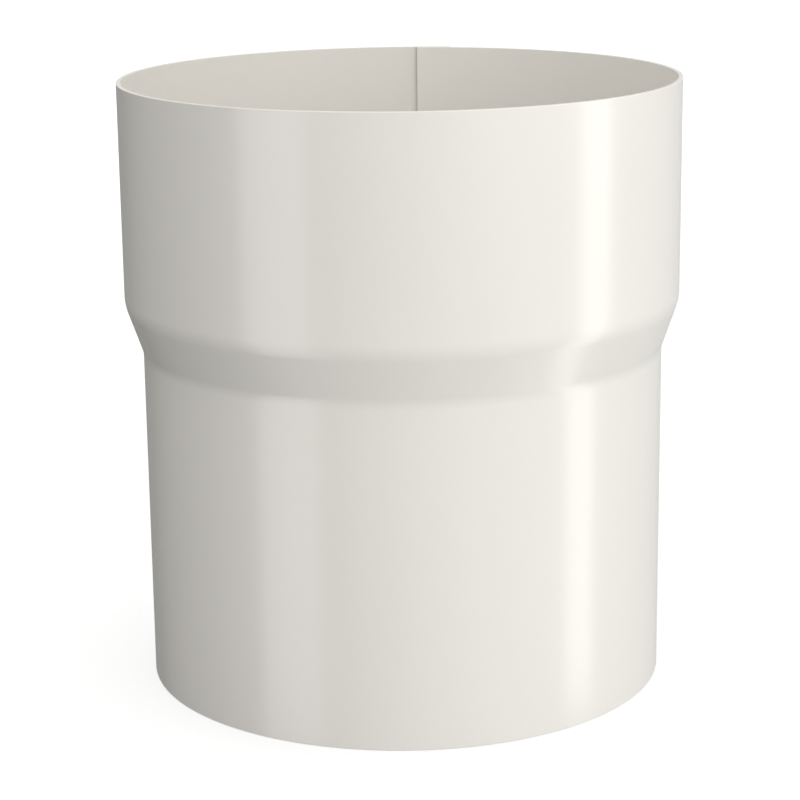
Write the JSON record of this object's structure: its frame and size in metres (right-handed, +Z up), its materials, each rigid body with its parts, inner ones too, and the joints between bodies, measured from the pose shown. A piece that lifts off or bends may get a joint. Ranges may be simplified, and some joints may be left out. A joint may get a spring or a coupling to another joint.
{
  "type": "pipe connector",
  "caption": "Straight sheet-metal connector for round downpipes: a wide socket above a short conical shoulder and a longer, narrower spigot, rolled from one sheet with a lap seam.",
  "frame": {"origin": "on the tube's axis, in the plane of the spigot's cut edge", "axes": "+Z up the axis, from the spigot to the socket's mouth; the lap seam is on +Y, at the back"},
  "size_m": [0.092, 0.0927, 0.1],
  "materials": {
    "painted_sheet": "warm white satin paint on steel sheet, inside and out"
  },
  "bodies": {
    "root": {"pipe_connector": "painted_sheet"}
  },
  "joints": []
}
